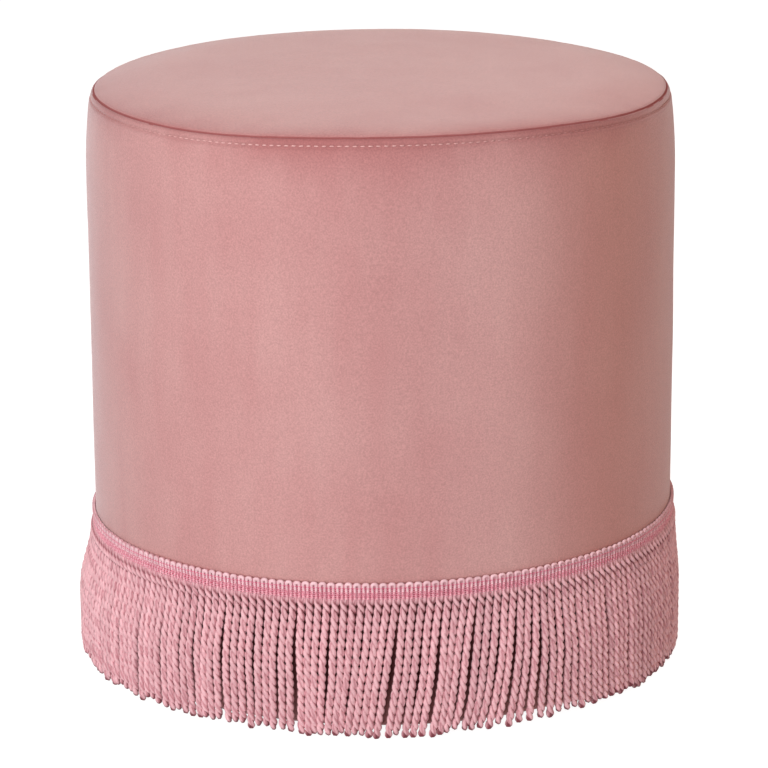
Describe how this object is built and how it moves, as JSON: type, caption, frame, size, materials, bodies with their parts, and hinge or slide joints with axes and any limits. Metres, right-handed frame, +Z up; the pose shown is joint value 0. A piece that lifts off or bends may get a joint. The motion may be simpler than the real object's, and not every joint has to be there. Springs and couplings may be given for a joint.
{
  "type": "tuffet",
  "caption": "Round drum stool with a crowned velvet seat, straight velvet side and a deep bullion fringe hanging to the floor.",
  "frame": {"origin": "on the floor, under the centre of the drum", "axes": "+Z up along the drum's axis; -Y is the front, the side that faces the camera in the picture"},
  "size_m": [0.418, 0.418, 0.4055],
  "materials": {
    "velvet": "matte",
    "fringe": "satin",
    "foam": "matte",
    "dust_cloth": "matte",
    "plywood": "matte",
    "pine": "matte",
    "hardboard": "matte",
    "glide_plastic": "satin",
    "screw_steel": "satin"
  },
  "bodies": {
    "root": {"base_board": "plywood", "top_board": "plywood", "drum_wall": "hardboard", "post_1": "pine", "post_2": "pine", "post_3": "pine", "post_4": "pine", "post_5": "pine", "post_6": "pine", "top_screw_1": "screw_steel", "top_screw_2": "screw_steel", "top_screw_3": "screw_steel", "top_screw_4": "screw_steel", "top_screw_5": "screw_steel", "top_screw_6": "screw_steel", "base_screw_1": "screw_steel", "base_screw_2": "screw_steel", "base_screw_3": "screw_steel", "base_screw_4": "screw_steel", "base_screw_5": "screw_steel", "base_screw_6": "screw_steel", "wall_padding": "foam", "seat_foam": "foam", "side_cover": "velvet", "top_cover": "velvet", "dust_cover": "dust_cloth", "foot_1": "glide_plastic", "foot_2": "glide_plastic", "foot_3": "glide_plastic", "foot_4": "glide_plastic", "foot_screw_1": "screw_steel", "foot_screw_2": "screw_steel", "foot_screw_3": "screw_steel", "foot_screw_4": "screw_steel", "fringe_front": "fringe", "fringe_right": "fringe", "fringe_back": "fringe", "fringe_left": "fringe"}
  },
  "joints": []
}
